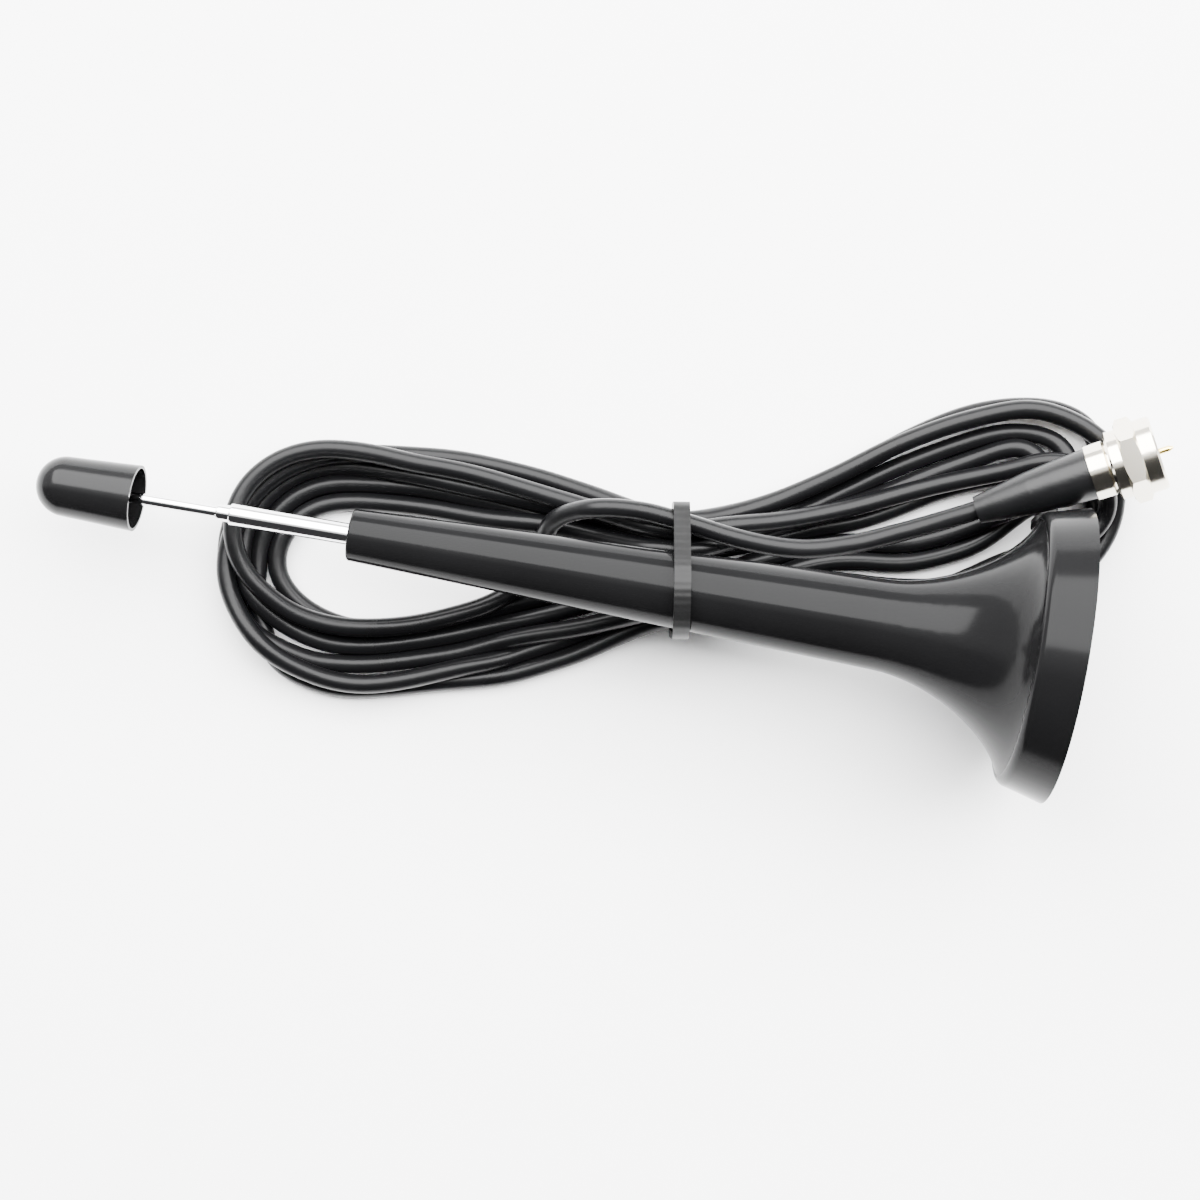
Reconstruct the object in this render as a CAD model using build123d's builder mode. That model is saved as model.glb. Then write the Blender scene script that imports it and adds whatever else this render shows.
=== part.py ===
"""Magnetic-base telescopic whip antenna, lying on its side with its cable in a tied hank.

Millimetres, +Z up. The table is z = 0 and the mast runs along X, its cap end towards -X and
a little lower than its base. Every turned piece is drawn on planes of the mast's own axis,
where the height is counted from the base's bottom face towards the cap.
"""

import os
from math import cos, pi, radians, sin, tan

from build123d import *

# ---- driving dimensions ----

mast_slope = 2.5  # degrees, how far the cap end dips towards the table
overall_length = 152.0  # base face to cap's crown, as stored

base_radius = 21.6
rim_radius = 20.1  # where the rim's tapered band ends
rim_height = 5.4
mast_foot_radius = 6.7
mast_foot_height = 27.0
mast_top_radius = 3.85
mast_length = 105.0

cavity_radius = 19.3
bore_foot_radius = 5.2
bore_top_radius = 2.65
bush_length = 8.0

pad_radius = 18.0
pad_thickness = 0.7
cover_top = 1.8
magnet_radius = 10.5
magnet_hole_radius = 4.0
magnet_top = 4.8
plate_top = 5.6
insulator_radius = 5.2
insulator_top = 7.2
tag_top = 7.6
socket_top = 18.0
socket_seat = 10.0

screw_circle = 15.2
screw_radius = 0.9
screw_head_radius = 1.7
boss_radius = 2.2

# telescopic sections, outermost first: outer radius, bore radius
fixed_outer, fixed_bore = 2.0, 1.77
tube_1_outer, tube_1_bore = 1.6, 1.35
tube_2_outer, tube_2_bore = 1.25, 1.02
tip_radius = 0.9
running_gap = 0.05
sleeve_gap = 0.04
section_length = 91.0
fixed_tube_top = 104.2
tube_1_tip = 123.0
tube_2_tip = 125.0
lip_length = 0.8
sleeve_length = 6.0
tip_rod_foot = 56.0
tip_sleeve_length = 4.0

cap_rim = 137.0
cap_radius = 4.9
cap_shoulder_radius = 4.45
cap_bore_radius = 4.45
cap_depth = 9.5
cap_socket_end = 150.0

cable_radius = 1.45
exit_angle = 30.0  # degrees below horizontal, on the +Y side
exit_height = 4.0
grommet_stem_radius = 1.95
grommet_flange_radius = 2.4
grommet_reach = 23.6

plug_start = (60.7, 19.1, 13.6)  # narrow end of the boot
plug_turn = 27.6  # degrees from +X towards +Y
plug_rise = 14.1
boot_length = 17.3
barrel_start = 8.5
barrel_radius = 2.6
ferrule_end, ferrule_radius = 20.2, 4.1
neck_radius = 3.3
flange_start, flange_end, flange_radius = 21.5, 22.4, 4.1
nut_start, nut_web_end, hex_start, hex_end, nut_end = 20.4, 21.4, 22.2, 25.0, 27.4
nut_flats = 11.0
nut_bore_radius = 4.55
pin_radius, pin_seat_radius = 0.45, 0.8
pin_shank_end, pin_tip_end = 28.9, 29.5

tie_x = 19.4
tie_turn = 8.7  # degrees, the tie runs round the mast a little aslant
tie_width = 2.4
tie_thickness = 1.1
tie_slack = 0.35

# ---- the mast's own planes ----

slope = radians(mast_slope)
to_cap = Vector(-cos(slope), 0, -sin(slope))
foot_height = base_radius * cos(slope)
base_reach = pad_thickness * cos(slope) / 2 + pad_radius * sin(slope)
foot_x = (overall_length * cos(slope) - base_reach) / 2

mast = Plane(origin=(foot_x, 0, foot_height), x_dir=(0, 1, 0), z_dir=to_cap)
mast_axis = Axis(mast.origin, mast.z_dir)


def side_plane(angle):
    """The half plane through the mast's axis at an angle below +Y: X is radius, Y is height."""
    outward = mast.x_dir.rotate(mast_axis, angle)
    return Plane(origin=mast.origin, x_dir=outward, z_dir=outward.cross(mast.z_dir))


profile_plane = side_plane(0)
exit_plane = side_plane(exit_angle)


def turned(points, plane=profile_plane, axis=mast_axis):
    """A body turned about an axis from an outline of (radius, height) corners."""
    with BuildPart() as body:
        with BuildSketch(plane):
            with BuildLine():
                Polyline(*points, close=True)
            make_face()
        revolve(axis=axis)
    return body


def ring(inner, outer, low, high, plane=profile_plane, axis=mast_axis):
    """A plain turned ring between two radii and two heights."""
    corners = [(inner, low), (outer, low), (outer, high), (inner, high)]
    return turned(corners, plane, axis)


def bend_radii(points, share=0.45):
    """The largest arc that each corner's two runs allow."""
    runs = [Vector(*b) - Vector(*a) for a, b in zip(points, points[1:])]
    radii = []
    for before, after in zip(runs, runs[1:]):
        turn = radians(before.get_angle(after))
        radii.append(share * min(before.length, after.length) / tan(turn / 2))
    return radii


def round_bar(points, radius):
    """A round bar along straight runs joined by tangent arcs."""
    with BuildPart() as bar:
        with BuildLine() as path:
            FilletPolyline(*points, radius=bend_radii(points))
        with BuildSketch(Plane(origin=path.line @ 0, z_dir=path.line % 0)):
            Circle(radius)
        sweep()
    section = pi * radius**2
    length = sum(edge.length for edge in path.edges())
    print("bends", [round(r, 1) for r in bend_radii(points)], "length", round(length, 1),
          "volume ratio", round(bar.part.volume / (section * length), 4))
    return bar


# ---- housing ----

with BuildPart() as housing:
    with BuildSketch(profile_plane):
        with BuildLine():
            Line((0, 0), (base_radius, 0))
            Line((base_radius, 0), (rim_radius, rim_height))
            ThreePointArc((rim_radius, rim_height), (19.75, 6.15), (18.6, 6.6))
            Bezier((18.6, 6.6), (13.5, 8.6), (7.1, 17.5), (mast_foot_radius, mast_foot_height))
            Line((mast_foot_radius, mast_foot_height), (mast_top_radius, mast_length))
            Line((mast_top_radius, mast_length), (0, mast_length))
            Line((0, mast_length), (0, 0))
        make_face()
    revolve(axis=mast_axis)
    top_edge = housing.edges().filter_by(GeomType.CIRCLE).sort_by(Axis.X)[0]
    fillet(top_edge, 0.4)
    with BuildSketch(profile_plane):
        with BuildLine():
            Line((0, 0), (cavity_radius, 0))
            Line((cavity_radius, 0), (19.0, 4.6))
            Line((19.0, 4.6), (17.2, 5.3))
            Bezier((17.2, 5.3), (12.2, 7.2), (5.6, 16.5), (bore_foot_radius, mast_foot_height))
            Line((bore_foot_radius, mast_foot_height), (bore_top_radius, mast_length - bush_length))
            Line((bore_top_radius, mast_length - bush_length), (bore_top_radius, mast_length))
            Line((bore_top_radius, mast_length), (0, mast_length))
            Line((0, mast_length), (0, 0))
        make_face()
    revolve(axis=mast_axis, mode=Mode.SUBTRACT)
    # screw bosses stand on the flare's inside
    with BuildSketch(mast.offset(cover_top)):
        with PolarLocations(screw_circle, 3, start_angle=exit_angle + 60):
            Circle(boss_radius)
    extrude(amount=5.0)
    with BuildSketch(mast):
        with PolarLocations(screw_circle, 3, start_angle=exit_angle + 60):
            Circle(screw_radius)
    extrude(amount=5.4, mode=Mode.SUBTRACT)
    # hole for the grommet
    hole_start = exit_plane.from_local_coords((15.5, exit_height, 0))
    with BuildSketch(Plane(hole_start, z_dir=exit_plane.x_dir)):
        Circle(grommet_stem_radius)
    extrude(amount=8.0, mode=Mode.SUBTRACT)

# ---- pieces in the base ----

with BuildPart() as bottom_cover:
    with BuildSketch(mast.offset(pad_thickness / 2)):
        Circle(cavity_radius - 0.2)
    extrude(amount=cover_top - pad_thickness / 2)
    with BuildSketch(mast.offset(pad_thickness / 2)):
        with PolarLocations(screw_circle, 3, start_angle=exit_angle + 60):
            Circle(screw_head_radius)
    extrude(amount=0.8, mode=Mode.SUBTRACT)
    with BuildSketch(mast):
        with PolarLocations(screw_circle, 3, start_angle=exit_angle + 60):
            Circle(screw_radius)
    extrude(amount=cover_top + 1, mode=Mode.SUBTRACT)

with BuildPart() as cover_screws:
    with BuildSketch(mast.offset(pad_thickness / 2)):
        with PolarLocations(screw_circle, 3, start_angle=exit_angle + 60):
            Circle(screw_head_radius)
    extrude(amount=0.8)
    with BuildSketch(mast.offset(pad_thickness / 2)):
        with PolarLocations(screw_circle, 3, start_angle=exit_angle + 60):
            Circle(screw_radius)
    extrude(amount=5.4 - pad_thickness / 2)

base_pad = ring(0, pad_radius, -pad_thickness / 2, pad_thickness / 2)
magnet = ring(magnet_hole_radius, magnet_radius, cover_top, magnet_top)
backing_plate = ring(0, magnet_radius, magnet_top, plate_top)
socket_insulator = ring(0, insulator_radius, plate_top, insulator_top)

tube_socket = turned([
    (0, tag_top), (3.6, tag_top), (3.6, tag_top + 1.4), (2.9, tag_top + 1.4),
    (2.9, socket_top), (fixed_outer, socket_top), (fixed_outer, socket_seat), (0, socket_seat),
])

tag_origin = mast.offset(insulator_top).origin
with BuildPart() as solder_tag:
    with BuildSketch(Plane(tag_origin, x_dir=exit_plane.x_dir, z_dir=mast.z_dir)):
        Circle(3.6)
        with Locations((3.6, 0)):
            SlotOverall(4.8, 2.0)
    extrude(amount=tag_top - insulator_top)

# ---- cable inside the base: jacket, then core to the tag and braid to the plate ----


def in_exit_plane(points):
    return [exit_plane.from_local_coords((radius, height, 0)) for radius, height in points]


inner_cable = round_bar(
    in_exit_plane([(grommet_reach, exit_height), (16.0, exit_height), (12.0, 6.6), (8.6, 9.2001)]),
    cable_radius,
)
core_lead = round_bar(in_exit_plane([(8.6, 9.2), (6.6, 10.7), (5.2, 9.8), (5.2, tag_top)]), 0.35)
braid_lead = round_bar(
    in_exit_plane([(8.05, 8.49), (7.2, 9.1), (7.0, 7.6), (7.4, plate_top)]), 0.4
)

cable_grommet = turned(
    [
        (cable_radius, 17.6), (grommet_stem_radius, 17.6), (grommet_stem_radius, 21.2),
        (grommet_flange_radius, 21.2), (grommet_flange_radius, 22.1), (2.1, 22.5),
        (1.85, grommet_reach), (cable_radius, grommet_reach),
    ],
    Plane(
        exit_plane.from_local_coords((0, exit_height, 0)),
        x_dir=mast.z_dir,
        z_dir=mast.z_dir.cross(exit_plane.x_dir),
    ),
    Axis(exit_plane.from_local_coords((0, exit_height, 0)), exit_plane.x_dir),
)

# ---- telescopic rod ----


def telescopic_tube(outer, bore, foot, tip, inner_radius):
    """A tube with its tip rolled in round the next section, and rounded off outside."""
    lip = inner_radius + running_gap
    return turned([
        (bore, foot), (outer, foot), (outer, tip - 0.3), (outer - 0.06, tip - 0.1),
        (outer - 0.16, tip), (lip, tip), (lip, tip - lip_length), (bore, tip - lip_length),
    ])


guide_bush = ring(fixed_outer, bore_top_radius, mast_length - bush_length, mast_length)
outer_tube = telescopic_tube(fixed_outer, fixed_bore, socket_seat, fixed_tube_top, tube_1_outer)
tube_1 = telescopic_tube(
    tube_1_outer, tube_1_bore, tube_1_tip - section_length, tube_1_tip, tube_2_outer
)
tube_2 = telescopic_tube(
    tube_2_outer, tube_2_bore, tube_2_tip - section_length, tube_2_tip, tip_radius
)
tip_rod = ring(0, tip_radius, tip_rod_foot, cap_socket_end)

sleeve_1_foot = tube_1_tip - section_length
sleeve_1 = ring(tube_1_outer, fixed_bore - sleeve_gap, sleeve_1_foot, sleeve_1_foot + sleeve_length)
sleeve_2_foot = tube_2_tip - section_length
sleeve_2 = ring(tube_2_outer, tube_1_bore - sleeve_gap, sleeve_2_foot, sleeve_2_foot + sleeve_length)
sleeve_3 = ring(
    tip_radius, tube_2_bore - sleeve_gap, tip_rod_foot, tip_rod_foot + tip_sleeve_length
)

dome_height = overall_length - cap_shoulder_radius
with BuildPart() as cap:
    with BuildSketch(profile_plane):
        with BuildLine():
            Line((tip_radius, cap_rim + cap_depth), (cap_bore_radius - 0.3, cap_rim + cap_depth))
            Line((cap_bore_radius - 0.3, cap_rim + cap_depth), (cap_bore_radius, cap_rim))
            Line((cap_bore_radius, cap_rim), (cap_radius, cap_rim))
            Line((cap_radius, cap_rim), (cap_shoulder_radius, dome_height))
            ThreePointArc(
                (cap_shoulder_radius, dome_height),
                (cap_shoulder_radius * sin(pi / 4), dome_height + cap_shoulder_radius * cos(pi / 4)),
                (0, overall_length),
            )
            Line((0, overall_length), (0, cap_socket_end))
            Line((0, cap_socket_end), (tip_radius, cap_socket_end))
            Line((tip_radius, cap_socket_end), (tip_radius, cap_rim + cap_depth))
        make_face()
    revolve(axis=mast_axis)

# ---- plug on the cable's end, turned about its own axis ----

plug_ahead = Vector(
    cos(radians(plug_rise)) * cos(radians(plug_turn)),
    cos(radians(plug_rise)) * sin(radians(plug_turn)),
    sin(radians(plug_rise)),
)
plug_across = Vector(sin(radians(plug_turn)), -cos(radians(plug_turn)), 0)
plug = Plane(origin=plug_start, x_dir=plug_across, z_dir=plug_ahead)
plug_profile = Plane(origin=plug_start, x_dir=plug_across, z_dir=plug_across.cross(plug_ahead))
plug_axis = Axis(plug.origin, plug.z_dir)


def plug_turned(points):
    return turned(points, plug_profile, plug_axis)


plug_boot = plug_turned([
    (cable_radius, 0), (2.05, 0), (2.5, 3.0), (3.2, barrel_start - 0.4), (3.5, 12.0),
    (3.8, boot_length), (barrel_radius, boot_length), (barrel_radius, barrel_start),
    (cable_radius, barrel_start),
])
plug_ferrule = plug_turned([
    (barrel_radius, boot_length), (ferrule_radius, boot_length), (ferrule_radius, ferrule_end - 0.3),
    (ferrule_radius - 0.3, ferrule_end), (barrel_radius, ferrule_end),
])
plug_body = plug_turned([
    (2.0, barrel_start), (barrel_radius, barrel_start), (barrel_radius, ferrule_end),
    (neck_radius, ferrule_end), (neck_radius, flange_start), (flange_radius, flange_start),
    (flange_radius, flange_end), (2.0, flange_end),
])
plug_insulator = plug_turned([
    (pin_seat_radius, barrel_start), (2.0, barrel_start), (2.0, flange_end),
    (pin_seat_radius, flange_end),
])
centre_pin = plug_turned([
    (0, barrel_start), (pin_seat_radius, barrel_start), (pin_seat_radius, flange_end),
    (pin_radius, flange_end), (pin_radius, pin_shank_end), (0.12, pin_tip_end), (0, pin_tip_end),
])

hex_corner = nut_flats / 2 / cos(pi / 6)
with BuildPart() as nut_hex:
    with BuildSketch(plug.offset(hex_start)):
        RegularPolygon(nut_flats / 2, 6, major_radius=False)
    extrude(amount=hex_end - hex_start)
    with BuildSketch(plug_profile):
        with BuildLine():
            Polyline(
                (0, hex_start), (nut_flats / 2, hex_start), (hex_corner, hex_start + 0.5),
                (hex_corner, hex_end - 0.5), (nut_flats / 2, hex_end), (0, hex_end), close=True,
            )
        make_face()
    revolve(axis=plug_axis, mode=Mode.INTERSECT)

with BuildPart() as coupling_nut:
    add(nut_hex.part)
    with BuildSketch(plug_profile):
        with BuildLine():
            Polyline(
                (0, nut_start), (4.8, nut_start), (5.1, nut_start + 0.3), (5.1, hex_start),
                (4.9, hex_start), (4.9, hex_end), (5.5, hex_end), (5.5, nut_end - 0.3),
                (5.2, nut_end), (0, nut_end), close=True,
            )
        make_face()
    revolve(axis=plug_axis)
    with BuildSketch(plug_profile):
        with BuildLine():
            Polyline(
                (0, nut_start - 1), (neck_radius + 0.08, nut_start - 1),
                (neck_radius + 0.08, nut_web_end), (nut_bore_radius, nut_web_end),
                (nut_bore_radius, nut_end - 0.4), (nut_bore_radius + 0.4, nut_end),
                (nut_bore_radius + 0.4, nut_end + 1), (0, nut_end + 1), close=True,
            )
        make_face()
    revolve(axis=plug_axis, mode=Mode.SUBTRACT)

# ---- cable outside: base to hank, the hank, hank to plug ----

exit_mouth = exit_plane.from_local_coords((grommet_reach, exit_height, 0))
exit_ahead = exit_plane.x_dir
cable_tail = round_bar(
    [exit_mouth, exit_mouth + exit_ahead * 4.5, (70.4, 29.2, 5.2), (66.4, 31.0, 4.2)], cable_radius
)

cable_lead = round_bar(
    [
        (-2.0, 4.5, 5.0), (-0.5, 7.6, 9.5), (4.5, 9.8, 13.6), (11.5, 10.6, 15.5),
        (19.0, 9.9, 15.9), (27.0, 8.9, 15.3), (35.8, 9.0, 14.4), (43.2, 11.0, 13.5),
        (50.2, 14.0, 12.6), plug.from_local_coords((0, 0, -2.0)),
        plug.from_local_coords((0, 0, barrel_start)),
    ],
    cable_radius,
)

left_lobe_height = 6.0
right_lobe_height = 9.0
waist_low, waist_high = 3.9, 11.0

with BuildPart() as cable_hank:
    # left lobe: three strands' breadth round an open middle
    with BuildSketch():
        for x, y, radius in [(-36.0, 0, 14.2), (-35.3, -10.8, 13.4), (6.5, 2.0, 9.0)]:
            with Locations((x, y)):
                Circle(radius)
        make_hull()
    extrude(amount=left_lobe_height)
    with BuildSketch():
        for x, y, radius in [(-31.0, -5.0, 4.5), (-14.0, -2.0, 3.0)]:
            with Locations((x, y)):
                Circle(radius)
        make_hull()
    extrude(amount=left_lobe_height, mode=Mode.SUBTRACT)
    # right lobe, swept out beside the base
    with BuildSketch():
        for x, y, radius in [(31.0, 5.0, 6.5), (57.0, 14.0, 4.5), (70.0, 31.0, 6.7)]:
            with Locations((x, y)):
                Circle(radius)
        make_hull()
    extrude(amount=right_lobe_height)
    with BuildSketch():
        for x, y, radius in [(74.0, 31.0, 6.0), (81.0, 20.0, 4.2)]:
            with Locations((x, y)):
                Circle(radius)
        make_hull()
    extrude(amount=left_lobe_height)
    # waist, lifted on the cable tie's head
    with BuildSketch(Plane.XY.offset(waist_low)):
        with Locations((19.5, 2.05)):
            Rectangle(33.0, 12.9)
    extrude(amount=waist_high - waist_low)

# ---- cable tie round the mast and the hank's waist ----

turn = radians(tie_turn)
tie_ahead = Vector(cos(turn), sin(turn), 0)
tie_plane = Plane(origin=(tie_x, 0, 0), x_dir=Vector(0, 0, 1).cross(tie_ahead), z_dir=tie_ahead)
tie_height = (foot_x - tie_x) / cos(slope)
mast_radius_there = mast_foot_radius + (mast_top_radius - mast_foot_radius) * (
    (tie_height - mast_foot_height) / (mast_length - mast_foot_height)
)
held = [
    (0, foot_height - tie_height * sin(slope), mast_radius_there + tie_slack),
    (-4.4, 5.0, cable_radius), (8.2, 5.0, cable_radius), (10.6, 9.6, cable_radius),
    (10.2, 15.9, cable_radius + tie_slack),
]

with BuildPart() as cable_tie:
    with BuildSketch(tie_plane):
        for across, up, radius in held:
            with Locations((across, up)):
                Circle(radius + tie_thickness)
        make_hull()
    extrude(amount=tie_width / 2, both=True)
    with BuildSketch(tie_plane):
        with Locations((4.4, 1.9)):
            RectangleRounded(5.6, 3.4, 0.6)
    extrude(amount=tie_width / 2 + 1.0, both=True)
    with BuildSketch(tie_plane):
        for across, up, radius in held:
            with Locations((across, up)):
                Circle(radius)
        make_hull()
    extrude(amount=tie_width, both=True, mode=Mode.SUBTRACT)

# ---- names and files ----

pieces = {
    "housing": housing, "bottom_cover": bottom_cover, "cover_screws": cover_screws,
    "base_pad": base_pad, "magnet": magnet, "backing_plate": backing_plate,
    "socket_insulator": socket_insulator, "tube_socket": tube_socket, "solder_tag": solder_tag,
    "inner_cable": inner_cable, "core_lead": core_lead, "braid_lead": braid_lead,
    "cable_grommet": cable_grommet, "guide_bush": guide_bush, "outer_tube": outer_tube,
    "tube_1": tube_1, "sleeve_1": sleeve_1, "tube_2": tube_2, "sleeve_2": sleeve_2,
    "tip_rod": tip_rod, "sleeve_3": sleeve_3, "cap": cap, "plug_boot": plug_boot,
    "plug_ferrule": plug_ferrule, "plug_body": plug_body, "plug_insulator": plug_insulator,
    "centre_pin": centre_pin, "coupling_nut": coupling_nut, "cable_tail": cable_tail,
    "cable_lead": cable_lead, "cable_hank": cable_hank, "cable_tie": cable_tie,
}

os.makedirs("parts", exist_ok=True)
for name, piece in pieces.items():
    piece.part.label = name
    export_step(piece.part, f"parts/{name}.step")
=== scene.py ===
"""Looks of the telescopic whip antenna: its free cable, its materials, its floor and its light."""

import math

import bmesh
import bpy
import numpy as np
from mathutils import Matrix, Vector


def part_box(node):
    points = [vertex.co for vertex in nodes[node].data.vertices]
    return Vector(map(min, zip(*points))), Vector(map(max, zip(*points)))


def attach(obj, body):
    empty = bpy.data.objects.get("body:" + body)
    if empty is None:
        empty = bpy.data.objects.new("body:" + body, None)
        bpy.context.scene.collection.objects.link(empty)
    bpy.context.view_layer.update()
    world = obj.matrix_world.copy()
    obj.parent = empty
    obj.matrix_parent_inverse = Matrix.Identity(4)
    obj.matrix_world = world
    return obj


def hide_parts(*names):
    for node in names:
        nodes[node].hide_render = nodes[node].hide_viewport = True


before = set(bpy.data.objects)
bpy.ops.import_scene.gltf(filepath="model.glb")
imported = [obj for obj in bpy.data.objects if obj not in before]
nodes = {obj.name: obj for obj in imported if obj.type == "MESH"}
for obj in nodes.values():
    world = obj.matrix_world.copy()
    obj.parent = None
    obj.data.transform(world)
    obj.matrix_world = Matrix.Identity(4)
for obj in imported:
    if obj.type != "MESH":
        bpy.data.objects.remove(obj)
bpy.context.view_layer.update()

# ---- the frame's own places, in metres ----

slope = math.radians(2.5)
foot_inset = 0.000942  # the base's radius times the sine of the slope
base_low, base_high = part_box("housing")
# the housing's axis starts at the foot, in the middle of the base, and runs to the cap
foot = np.array([base_high.x - foot_inset, 0.0, (base_low.z + base_high.z) / 2])
to_cap = np.array([-math.cos(slope), 0.0, -math.sin(slope)])
table = 0.0

# ---- camera, straight above the table ----

camera_data = bpy.data.cameras.new("camera")
camera = bpy.data.objects.new("camera", camera_data)
bpy.context.scene.collection.objects.link(camera)
camera_data.lens = 68.82
camera_data.sensor_width = 36.0
camera_data.clip_end = 10.0
camera.location = (0.00803, -0.00332, 0.3525)
camera.rotation_euler = (0.0, 0.0, math.radians(9.64))
bpy.context.scene.camera = camera

# ---- the cable: tail, turns of the hank, lead ----

diameter = 0.0029
half = diameter / 2

# the tie's place along the mast, its turn from square, and how far it guides each strand
tie_x, tie_turn, tie_reach = 0.0194, math.radians(8.7), 0.0022
tie_ahead = np.array([math.cos(tie_turn), math.sin(tie_turn), 0.0])
tie_across = np.array([-math.sin(tie_turn), math.cos(tie_turn), 0.0])


def through_tie(across, up, ahead):
    """A point on a strand where the tie holds it."""
    return np.array([tie_x, 0.0, up]) + tie_across * across + tie_ahead * ahead


# the cable's two uncoiled ends, point for point as in part.py
tail_route = [
    (0.07188, 0.02044, 0.00962), (0.07198, 0.02433, 0.00737),
    (0.0704, 0.0292, 0.0052), (0.0664, 0.0310, 0.0042),
]
lead_route = [
    (-0.0020, 0.0045, 0.0050), (-0.0005, 0.0076, 0.0095), (0.0045, 0.0098, 0.0136),
    (0.0115, 0.0106, 0.0155), (0.0190, 0.0099, 0.0159), (0.0270, 0.0089, 0.0153),
    (0.0358, 0.0090, 0.0144), (0.0432, 0.0110, 0.0135), (0.0502, 0.0140, 0.0126),
    (0.05898, 0.01820, 0.01311), (0.06801, 0.02292, 0.01567),
]
# how the tail goes on from there to the tie
tail_run = [
    (0.0600, 0.0275, 0.0036), (0.0500, 0.0205, 0.0042), (0.0400, 0.0155, 0.0060),
    (0.0300, 0.0112, 0.0095),
]

# where each pass lies in the tie: (across, up); even ones run towards the cap, odd ones back
passes = [
    (0.0062, 0.0124), (0.0045, 0.0050), (0.0060, 0.0073), (-0.0044, 0.0050),
    (0.0076, 0.0099), (0.0015, 0.0050), (0.0092, 0.0069), (-0.0029, 0.0076),
    (0.0106, 0.0097), (-0.0015, 0.0050), (0.0090, 0.0125),
]

# turns at the cap's end: x of the middle and of the far side, y of the north and of the south
# run, bulge of the north and of the south run, layer
cap_turns = [
    (-0.0240, -0.0425, 0.0067, -0.0145, 0.0010, -0.0012, 0),
    (-0.0290, -0.0452, 0.0094, -0.0231, 0.0010, -0.0024, 1),
    (-0.0300, -0.0476, 0.0107, -0.0167, 0.0012, -0.0014, 2),
    (-0.0330, -0.0488, 0.0116, -0.0199, 0.0005, -0.0015, 3),
    (-0.0265, -0.0489, 0.0129, -0.0223, 0.0017, -0.0025, 4),
    (-0.0310, -0.0486, 0.0127, -0.0139, 0.0005, -0.0018, 5),
]
# where the last of them goes under the mast before it becomes the lead
under_mast = [(-0.0068, -0.0058, 0.0060), (-0.0034, -0.0016, 0.0048)]

# turns beside the base: crown x, crown y, far x, far y, turning-back x and y, return y, lift and
# sway of the north run, layer, and the layer under the rim for those that come back beneath it
base_turns = [
    (0.0740, 0.0278, 0.0806, 0.0222, 0.0768, 0.0150, 0.0062, -0.035, -0.045, 0, 0),
    (0.0705, 0.0325, 0.0757, 0.0272, 0.0697, 0.0214, 0.0103, -0.060, -0.060, 1, None),
    (0.0715, 0.0370, 0.0799, 0.0300, 0.0702, 0.0220, 0.0127, -0.067, -0.095, 2, None),
    (0.0690, 0.0364, 0.0829, 0.0245, 0.0775, 0.0120, 0.0034, -0.035, -0.065, 3, 0),
    (0.0740, 0.0285, 0.0815, 0.0235, 0.0775, 0.0168, 0.0048, 0.010, -0.045, 4, 1),
]
layer_step = 0.0031  # from one layer to the next
lay_gap = 0.0002  # between the table and the lowest layer
rim_gap = 0.0003  # the same for a turn that comes back beneath the rim
below_lead = 0.0088  # strands that pass beneath the lead stay under this height

# a cap turn: shares of its two runs that get a point, how soon the first reaches its height and
# how late the second leaves it, parts of the bend and how square the bend is
north_shares, south_shares = (0.3, 0.65), (0.35, 0.7)
sink_rate, climb_rate = 2.2, 1.5
bend_parts, squareness = 8, 0.9

# a base turn: where it leaves the tie, lies beside the mast and reaches the flare
leave_x, beside_x, flare_x = 0.0310, 0.0420, 0.0530
leave_share, beside_share = 0.45, 0.86
# a turn in the open climbs by these steps: x and y above the flare's point
open_steps = ((0.0580, 0.0019), (0.0630, 0.0046))
# a turn beneath the rim goes in and out here: x, y below the turning-back point, greatest y
rim_in_x, rim_in_drop, rim_in_most = 0.0620, 0.0068, 0.0086
rim_out_x, rim_out_drop = 0.0700, 0.0030
# how much of the far, turning-back and crown points the points between them take
far_weight, back_weight = (0.75, 0.45), (0.25, 0.55)
crown_weight, rest_weight = 0.72, 0.28
north_run_shares = (0.2, 0.4, 0.6, 0.8)


def cap_turn(shape, start, end):
    """Points of a turn that runs out along the north, round the far end and back south."""
    middle, far, north, south, rise, fall, layer = shape
    height = half + lay_gap + layer_step * layer
    low = min(height, below_lead)
    points = [start]
    for share in north_shares:
        x = start[0] + (middle - start[0]) * share
        y = start[1] + (north - start[1]) * share + rise * math.sin(math.pi * share)
        points.append((x, y, start[2] + (low - start[2]) * min(1.0, share * sink_rate)))
    for part in range(bend_parts + 1):
        angle = math.pi * part / bend_parts
        x = middle + (far - middle) * abs(math.sin(angle)) ** squareness
        y = (north + south) / 2 + (north - south) / 2 * math.cos(angle)
        points.append((x, y, height))
    for share in south_shares:
        x = middle + (end[0] - middle) * share
        y = south + (end[1] - south) * share + fall * math.sin(math.pi * share)
        climbed = max(0.0, share * climb_rate - (climb_rate - 1.0))
        points.append((x, y, height + (end[2] - height) * climbed))
    points.append(end)
    return points


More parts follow.
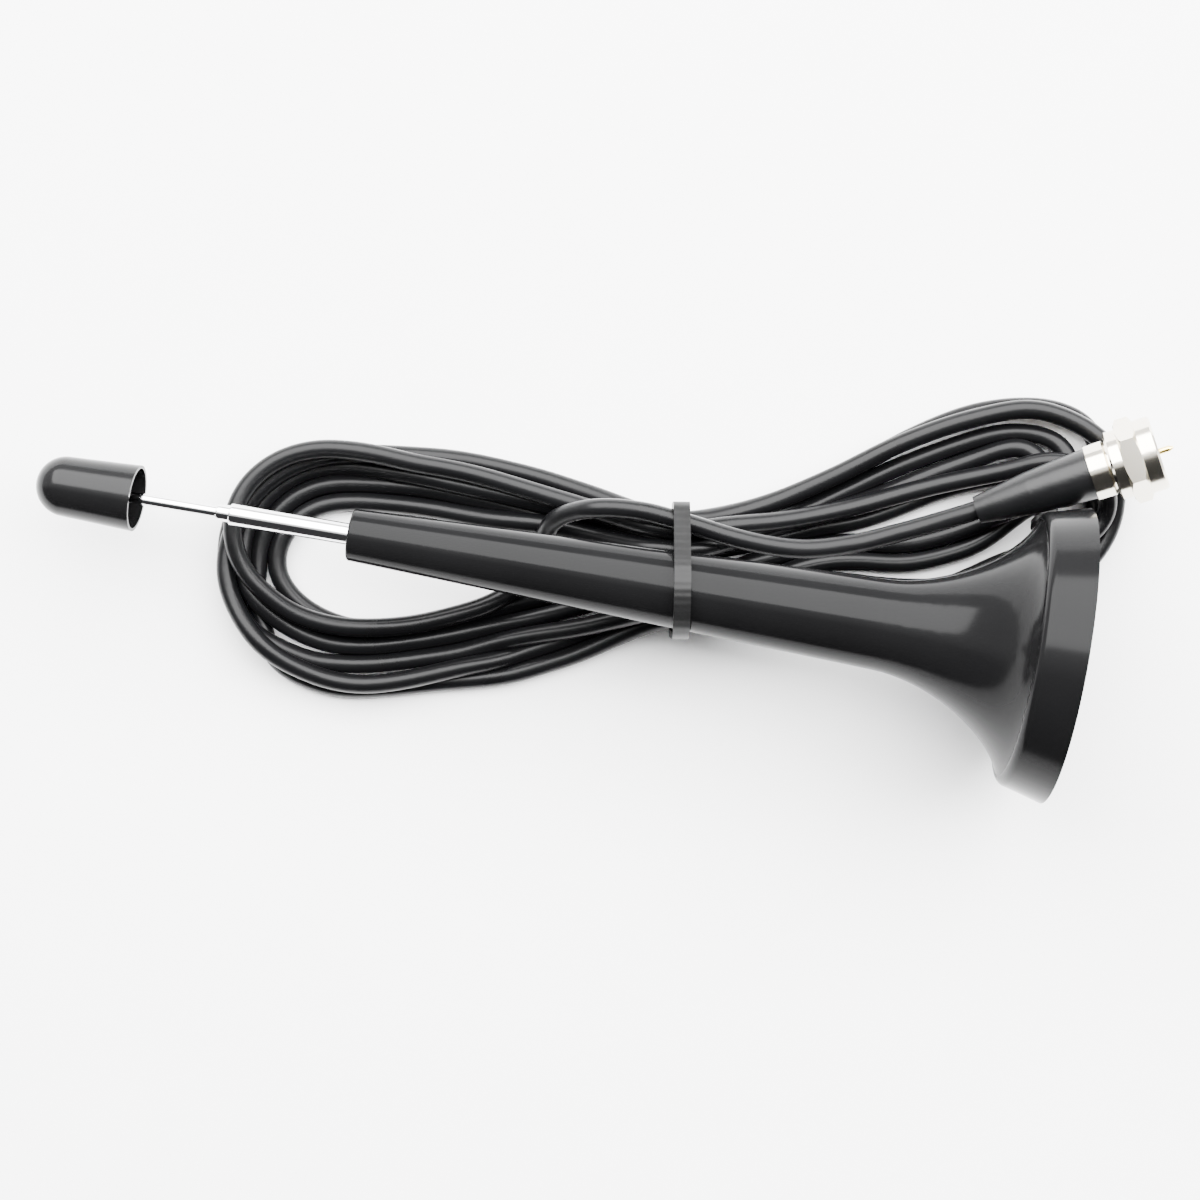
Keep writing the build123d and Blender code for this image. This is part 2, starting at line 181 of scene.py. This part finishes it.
def base_turn(shape, start, end):
    """Points of a turn that runs out low beside the mast, round the far end and back north."""
    crown_x, crown_y, far_x, far_y, back_x, back_y, return_y, lift, sway, layer, rim_layer = shape
    height = half + lay_gap + layer_step * layer
    leave_y = start[1] * leave_share + return_y * leave_share
    points = [start]
    points.append((leave_x, leave_y, start[2] * 0.5 + height * 0.5))
    points.append((beside_x, return_y * beside_share, height))
    points.append((flare_x, return_y, height))
    if rim_layer is None:
        under = height
        for x, climb in open_steps:
            points.append((x, return_y + climb, height))
    else:
        under = half + rim_gap + layer_step * rim_layer
        points.append((rim_in_x, min(back_y - rim_in_drop, rim_in_most), under))
        points.append((rim_out_x, back_y - rim_out_drop, under))
    points.append((back_x, back_y, under))
    outer_x = far_x * far_weight[0] + back_x * back_weight[0]
    outer_y = back_y * back_weight[1] + far_y * far_weight[1]
    points.append((outer_x, outer_y, under))
    points.append((far_x, far_y, (under + height) / 2))
    upper_x = far_x * crown_weight + crown_x * rest_weight
    upper_y = far_y * rest_weight + crown_y * crown_weight
    points.append((upper_x, upper_y, height))
    points.append((crown_x, crown_y, height))
    for share in north_run_shares:
        swing = lift * math.sin(math.pi * share) + sway * math.sin(2 * math.pi * share)
        x = crown_x + (end[0] - crown_x) * share
        y = crown_y + (end[1] - crown_y) * (share + swing)
        points.append((x, y, height + (end[2] - height) * share**2))
    points.append(end)
    return points


span_parts = 12  # parts in which each span between two points is worked out
least_run = 1e-5  # keeps a division by the distance between two points from failing


def flowing(points, step):
    """Evenly spaced points on a smooth line through the given ones."""
    p = np.array(points, float)
    p = np.vstack([2 * p[0] - p[1], p, 2 * p[-1] - p[-2]])
    fine = []
    for i in range(1, len(p) - 2):
        a, b, c, d = p[i - 1 : i + 3]
        ta, tb, tc = (max(np.linalg.norm(v) ** 0.5, least_run) for v in (b - a, c - b, d - c))
        leave = (b - a) / ta - (c - a) / (ta + tb) + (c - b) / tb
        arrive = (c - b) / tb - (d - b) / (tb + tc) + (d - c) / tc
        for t in np.linspace(0, 1, span_parts, endpoint=False):
            h = (2 * t**3 - 3 * t**2 + 1, t**3 - 2 * t**2 + t, 3 * t**2 - 2 * t**3, t**3 - t**2)
            fine.append(h[0] * b + h[1] * leave * tb + h[2] * c + h[3] * arrive * tb)
    fine = np.array(fine + [p[-2]])
    along = np.concatenate([[0], np.cumsum(np.linalg.norm(np.diff(fine, axis=0), axis=1))])
    at = np.linspace(0, along[-1], int(along[-1] / step) + 1)
    return np.stack([np.interp(at, along, fine[:, k]) for k in range(3)], axis=1)


def whole_route():
    """The cable's laid line, and the points in it that the tie, the base and the plug hold."""
    held, points = [0, 1], [np.array(p) for p in tail_route + tail_run]
    for number, (across, up) in enumerate(passes):
        ahead = tie_reach if number % 2 == 0 else -tie_reach
        first, last = through_tie(across, up, ahead), through_tie(across, up, -ahead)
        held += [len(points), len(points) + 1]
        points += [first, last]
        following = passes[number + 1] if number + 1 < len(passes) else None
        if number % 2 == 0:
            end = np.array(under_mast[0])
            if following is not None:
                end = through_tie(*following, -tie_reach)
            turn = cap_turn(cap_turns[number // 2], last, end)
        else:
            end = through_tie(*following, tie_reach)
            turn = base_turn(base_turns[number // 2], last, end)
        points += [np.array(p) for p in turn[1:-1]]
    points += [np.array(p) for p in under_mast]
    held += list(range(len(points), len(points) + len(lead_route)))
    points += [np.array(p) for p in lead_route]
    return np.array(points), held


laid, held_points = whole_route()
spacing = 0.0028  # between two points of the line
line = flowing(laid, spacing)

# ---- the cable settles: turns drop until they rest on the table or on each other ----
# the smallest numbers in this section only keep a division from failing

# the housing's outline: height along its axis from the foot, and radius
mast_profile = np.array([
    (-0.0004, 0.0), (-0.0004, 0.0216), (0.0054, 0.0201), (0.0061, 0.0198), (0.0066, 0.0186),
    (0.0085, 0.0146), (0.0120, 0.0110), (0.0165, 0.0087), (0.0215, 0.0073), (0.0270, 0.0067),
    (0.1050, 0.00385), (0.1054, 0.0),
])
# the plug: its axis, the boot's radius and how it widens, where the nut starts and its radius
plug_start, plug_end = np.array([0.0607, 0.0191, 0.0136]), np.array([0.0848, 0.0317, 0.0204])
boot_radius, boot_widening = 0.0021, 0.0030
nut_share, nut_radius = 0.6, 0.0062
lead_points = 30  # at the end of the line, which the boot holds

neighbours = 3  # runs no further than this along the line don't push each other
look_every = 5  # rounds between two searches for runs that lie close
late_share = 0.8  # from here on the line drops more slowly and is smoothed less
drops, eases = (0.00006, 0.00002), (1.0, 0.3)  # early and late
pull_back, smoothing, levelling = 0.04, 0.6, 0.25
push_shares = np.array([0.5, 0.5, 0.9])


def out_of_housing(p):
    """Moves points out to half a diameter from the housing's turned outline."""
    from_foot = p - foot
    height = from_foot @ to_cap
    beside = from_foot - height[:, None] * to_cap
    radius = np.maximum(np.linalg.norm(beside, axis=1), 1e-6)
    outward = beside / radius[:, None]
    here = np.stack([height, radius], axis=1)
    best = np.full(len(p), np.inf)
    nearest = here.copy()
    for a, b in zip(mast_profile, mast_profile[1:]):
        t = np.clip(((here - a) @ (b - a)) / ((b - a) @ (b - a)), 0, 1)
        q = a + t[:, None] * (b - a)
        away = np.linalg.norm(here - q, axis=1)
        closer = away < best
        best[closer], nearest[closer] = away[closer], q[closer]
    within = (height > mast_profile[0, 0]) & (height < mast_profile[-1, 0])
    within &= radius < np.interp(height, mast_profile[1:-1, 0], mast_profile[1:-1, 1])
    direction = (here - nearest) / np.maximum(best, 1e-9)[:, None]
    direction[within] *= -1
    need = np.where(within, best + half, np.maximum(half - best, 0.0))
    push = direction * need[:, None]
    return p + push[:, :1] * to_cap + push[:, 1:] * outward


def out_of_plug(p, last):
    """Keeps the turns below the boot and the coupling nut."""
    d = plug_end - plug_start
    t = np.clip(((p - plug_start) @ d) / (d @ d), 0, 1)
    to_point = p - plug_start - t[:, None] * d
    away = np.maximum(np.linalg.norm(to_point, axis=1), 1e-6)
    need = np.where(t > nut_share, nut_radius, boot_radius + boot_widening * t) + half
    push = np.where((away < need) & (np.arange(len(p)) < last), need - away, 0.0)
    return p + to_point / away[:, None] * push[:, None]


def apart(p, pairs):
    """How far each point moves so that the runs of each pair lie a diameter apart."""
    i, j = pairs
    a, b = p[i], p[j]
    u, v, w = p[i + 1] - a, p[j + 1] - b, a - b
    uu, uv, vv = (u * u).sum(1), (u * v).sum(1), (v * v).sum(1)
    uw, vw = (u * w).sum(1), (v * w).sum(1)
    det = np.maximum(uu * vv - uv * uv, 1e-14)
    s = np.clip((uv * vw - vv * uw) / det, 0, 1)
    t = np.clip((uv * s + vw) / vv, 0, 1)
    s = np.clip((uv * t - uw) / uu, 0, 1)
    gap = a + s[:, None] * u - b - t[:, None] * v
    size = np.maximum(np.linalg.norm(gap, axis=1), 1e-7)
    push = gap / size[:, None] * np.maximum(diameter - size, 0)[:, None] * 0.5
    moved, count = np.zeros_like(p), np.zeros(len(p))
    for index, share, sign in ((i, 1 - s, 1), (i + 1, s, 1), (j, 1 - t, -1), (j + 1, t, -1)):
        near = np.where(size < diameter, share, 0.0)
        np.add.at(moved, index, sign * push * share[:, None])
        np.add.at(count, index, near)
    return moved / np.maximum(count, 1.0)[:, None]


def settle(line, pinned, rounds):
    """The line after its turns have dropped and pushed each other aside."""
    target, p = line.copy(), line.copy()
    free = (~pinned)[:, None]
    for number in range(rounds):
        if number % look_every == 0:
            segments = (p[:-1] + p[1:]) / 2
            far = np.linalg.norm(segments[:, None] - segments[None], axis=2)
            i, j = np.nonzero(far < diameter + 2 * spacing)
            keep = j - i > neighbours
            pairs = (i[keep], j[keep])
        before = p.copy()
        late = 0 if number < rounds * late_share else 1
        drop, ease = drops[late], eases[late]
        p[:, 2] -= drop
        p[:, :2] += pull_back * (target[:, :2] - p[:, :2])
        p += apart(p, pairs) * push_shares
        p = out_of_plug(out_of_housing(p), len(p) - lead_points)
        p[:, 2] = np.maximum(p[:, 2], table + half)
        shift = p - target
        smooth = shift.copy()
        smooth[1:-1] = 0.25 * shift[:-2] + 0.5 * shift[1:-1] + 0.25 * shift[2:]
        p = target + shift + smoothing * ease * (smooth - shift)
        straight = p.copy()
        straight[1:-1, 2] = 0.5 * (p[:-2, 2] + p[2:, 2])
        p[:, 2] += levelling * ease * (straight[:, 2] - p[:, 2])
        p[:, 2] = np.maximum(p[:, 2], table + half)
        p = np.where(free, p, before)
    return p


pinned = np.zeros(len(line), bool)
for index in held_points:
    pinned[np.argmin(np.linalg.norm(line - laid[index], axis=1))] = True
rounds = 400
line = settle(line, pinned, rounds)

# the order of the spline is set once it has its points
curve = bpy.data.curves.new("cable", "CURVE")
curve.dimensions = "3D"
curve.bevel_depth = half
curve.bevel_resolution = 5
curve.resolution_u = 4
curve.use_fill_caps = True
spline = curve.splines.new("NURBS")
spline.points.add(len(line) - 1)
for point, place in zip(spline.points, line):
    point.co = (*place, 1.0)
spline.order_u = 3
spline.use_endpoint_u = True
cable = bpy.data.objects.new("cable", curve)
bpy.context.scene.collection.objects.link(cable)
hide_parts("cable_tail", "cable_hank", "cable_lead")

# ---- materials ----

mottle_scale = 60.0
noise_low, noise_high = 0.3, 0.7  # most values of a noise texture lie between these
grain_height = 0.0002


def add_node(tree, kind, values):
    """A new node of a kind, with the values of its inputs set."""
    made = tree.nodes.new(kind)
    for socket, value in values.items():
        made.inputs[socket].default_value = value
    return made


def set_ramp(ramp, *stops):
    """Gives a colour ramp its stops, each a position and a colour."""
    for element, (position, colour) in zip(ramp.color_ramp.elements, stops):
        element.position = position
        element.color = (*colour, 1.0)


def material(name, colour, roughness, grain, bump, mottle, metallic=0.0, wear=0.08,
             specular=0.5, sheen=0.0):
    """A surface with slight colour mottling, uneven gloss and fine grain."""
    made = bpy.data.materials.new(name)
    made.use_nodes = True
    tree = made.node_tree
    shader = tree.nodes["Principled BSDF"]
    shader.inputs["Metallic"].default_value = metallic
    shader.inputs["Specular IOR Level"].default_value = specular
    shader.inputs["Sheen Weight"].default_value = sheen
    place = add_node(tree, "ShaderNodeTexCoord", {})
    slow = add_node(tree, "ShaderNodeTexNoise", {"Scale": mottle_scale, "Detail": 4.0})
    tree.links.new(place.outputs["Object"], slow.inputs["Vector"])
    ramp = add_node(tree, "ShaderNodeValToRGB", {})
    dark = [c * (1 - mottle) for c in colour]
    light = [min(1.0, c * (1 + mottle)) for c in colour]
    set_ramp(ramp, (noise_low, dark), (noise_high, light))
    tree.links.new(slow.outputs["Fac"], ramp.inputs["Fac"])
    tree.links.new(ramp.outputs["Color"], shader.inputs["Base Color"])
    gloss = add_node(tree, "ShaderNodeMapRange", {
        "From Min": noise_low, "From Max": noise_high,
        "To Min": roughness * (1 - wear), "To Max": roughness * (1 + wear),
    })
    tree.links.new(slow.outputs["Fac"], gloss.inputs["Value"])
    tree.links.new(gloss.outputs["Result"], shader.inputs["Roughness"])
    fine = add_node(tree, "ShaderNodeTexNoise", {"Scale": grain, "Detail": 3.0})
    tree.links.new(place.outputs["Object"], fine.inputs["Vector"])
    raised = add_node(tree, "ShaderNodeBump", {"Strength": bump, "Distance": grain_height})
    tree.links.new(fine.outputs["Fac"], raised.inputs["Height"])
    tree.links.new(raised.outputs["Normal"], shader.inputs["Normal"])
    return made


def painted(obj, made):
    """Gives an object one material."""
    obj.data.materials.clear()
    obj.data.materials.append(made)


gloss_black = material("gloss_black", (0.004, 0.004, 0.0042), 0.14, grain=450, bump=0.015,
                       mottle=0.1, wear=0.25, specular=0.07)
chrome = material("chrome", (0.86, 0.86, 0.87), 0.08, metallic=1.0, grain=2500, bump=0.01,
                  mottle=0.02, wear=0.3)
nickel = material("nickel", (0.80, 0.75, 0.64), 0.17, metallic=1.0, grain=2200, bump=0.02,
                  mottle=0.05, wear=0.3)
steel = material("steel", (0.55, 0.55, 0.56), 0.35, metallic=1.0, grain=1500, bump=0.05,
                 mottle=0.12, wear=0.3)
gold = material("gold", (0.95, 0.72, 0.28), 0.15, metallic=1.0, grain=2500, bump=0.01,
                mottle=0.04, wear=0.3)
brass = material("brass", (0.74, 0.53, 0.22), 0.3, metallic=1.0, grain=1500, bump=0.05,
                 mottle=0.12, wear=0.25)
copper = material("copper", (0.80, 0.38, 0.22), 0.28, metallic=1.0, grain=1500, bump=0.05,
                  mottle=0.15, wear=0.25)
jacket = material("cable_jacket", (0.0030, 0.0030, 0.0033), 0.30, grain=1600, bump=0.10,
                  mottle=0.18, wear=0.15, specular=0.14)
boot_rubber = material("boot_rubber", (0.0030, 0.0030, 0.0033), 0.36, grain=1500, bump=0.10,
                       mottle=0.18, wear=0.15, specular=0.24)
cap_black = material("cap_black", (0.0045, 0.0045, 0.0047), 0.18, grain=450, bump=0.02,
                     mottle=0.1, wear=0.25, specular=0.13)
cover_black = material("cover_black", (0.018, 0.018, 0.018), 0.45, grain=700, bump=0.12,
                       mottle=0.12, wear=0.15)
foam = material("foam", (0.012, 0.012, 0.0125), 0.9, grain=1300, bump=0.8, mottle=0.3, wear=0.05,
                specular=0.2, sheen=0.05)
ferrite = material("ferrite", (0.06, 0.06, 0.065), 0.6, grain=1000, bump=0.3, mottle=0.2)
insulator_white = material("insulator_white", (0.78, 0.77, 0.72), 0.35, grain=900, bump=0.05,
                           mottle=0.04)

finishes = {
    "housing": gloss_black, "bottom_cover": cover_black, "cover_screws": steel, "base_pad": foam,
    "magnet": ferrite, "backing_plate": steel, "socket_insulator": insulator_white,
    "tube_socket": brass, "solder_tag": brass, "inner_cable": jacket, "core_lead": copper,
    "braid_lead": copper, "cable_grommet": boot_rubber, "guide_bush": cover_black,
    "outer_tube": chrome, "tube_1": chrome, "tube_2": chrome, "tip_rod": chrome,
    "sleeve_1": brass, "sleeve_2": brass, "sleeve_3": brass, "cap": cap_black,
    "plug_boot": boot_rubber, "plug_ferrule": nickel, "plug_body": nickel,
    "plug_insulator": insulator_white, "centre_pin": gold, "coupling_nut": nickel,
}
for node, made in finishes.items():
    painted(nodes[node], made)
painted(cable, jacket)

# ---- cable tie: nylon strap with a ladder of teeth on its outside ----

tooth_pitch, tooth_strength, tooth_height = 0.0011, 0.25, 0.00012
wave_factor = 20.0  # the wave texture multiplies its coordinate by this
tooth_scale = 2 * math.pi / (wave_factor * tooth_pitch)
nylon = material("nylon_tie", (0.006, 0.006, 0.0061), 0.42, grain=700, bump=0.15, mottle=0.12,
                 wear=0.2, specular=0.14)
strap = nylon.node_tree
place = add_node(strap, "ShaderNodeTexCoord", {})
turned = add_node(strap, "ShaderNodeMapping", {"Rotation": (0.0, 0.0, -tie_turn)})
ladder = add_node(strap, "ShaderNodeTexWave", {"Scale": tooth_scale})
ladder.bands_direction = "Y"
teeth = add_node(strap, "ShaderNodeBump", {"Strength": tooth_strength, "Distance": tooth_height})
strap.links.new(place.outputs["Object"], turned.inputs["Vector"])
strap.links.new(turned.outputs["Vector"], ladder.inputs["Vector"])
strap.links.new(ladder.outputs["Fac"], teeth.inputs["Height"])
fine_bump = strap.nodes["Principled BSDF"].inputs["Normal"].links[0].from_node
strap.links.new(teeth.outputs["Normal"], fine_bump.inputs["Normal"])
painted(nodes["cable_tie"], nylon)

# ---- floor, light and surroundings ----

floor_drop = 0.0002  # keeps the floor clear of what lies on the table
floor_mesh = bpy.data.meshes.new("floor")
grid = bmesh.new()
bmesh.ops.create_grid(grid, x_segments=8, y_segments=8, size=1.5)
grid.to_mesh(floor_mesh)
grid.free()
floor = bpy.data.objects.new("floor", floor_mesh)
bpy.context.scene.collection.objects.link(floor)
floor.location = (0.0, 0.0, table - floor_drop)
painted(floor, material("paper", (0.97, 0.97, 0.972), 0.75, grain=300, bump=0.02, mottle=0.01,
                        specular=0.2))


def softbox(name, place, aim, size, power):
    """A rectangular light that shines from a place towards a point."""
    data = bpy.data.lights.new(name, "AREA")
    data.shape = "RECTANGLE"
    data.size, data.size_y = size
    data.energy = power
    lamp = bpy.data.objects.new(name, data)
    bpy.context.scene.collection.objects.link(lamp)
    lamp.location = place
    lamp.rotation_euler = (Vector(aim) - Vector(place)).to_track_quat("-Z", "Y").to_euler()


softbox("key", place=(0.0, 0.44, 0.64), aim=(0.0, 0.0, 0.0), size=(1.8, 0.9), power=100.0)
softbox("side", place=(0.75, 0.25, 0.55), aim=(0.04, 0.0, 0.0), size=(0.25, 0.7), power=3.0)

# the surroundings are white on the north side and fade to near black on the south side
fade_from, fade_to = (0.36, (0.02, 0.02, 0.021)), (0.48, (1.0, 1.0, 1.0))
world = bpy.data.worlds.new("surroundings")
bpy.context.scene.world = world
world.use_nodes = True
sky = world.node_tree
background = sky.nodes["Background"]
direction = add_node(sky, "ShaderNodeTexCoord", {})
split = add_node(sky, "ShaderNodeSeparateXYZ", {})
sky.links.new(direction.outputs["Generated"], split.inputs["Vector"])
fade = add_node(sky, "ShaderNodeValToRGB", {})
set_ramp(fade, fade_from, fade_to)
level = add_node(sky, "ShaderNodeMapRange", {"From Min": -1.0, "From Max": 1.0})
sky.links.new(split.outputs["Y"], level.inputs["Value"])
sky.links.new(level.outputs["Result"], fade.inputs["Fac"])
sky.links.new(fade.outputs["Color"], background.inputs["Color"])
background.inputs["Strength"].default_value = 2.6

# ---- the cable goes with the antenna's body, end ----

bpy.context.view_layer.update()
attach(cable, "antenna")

bpy.context.view_layer.update()
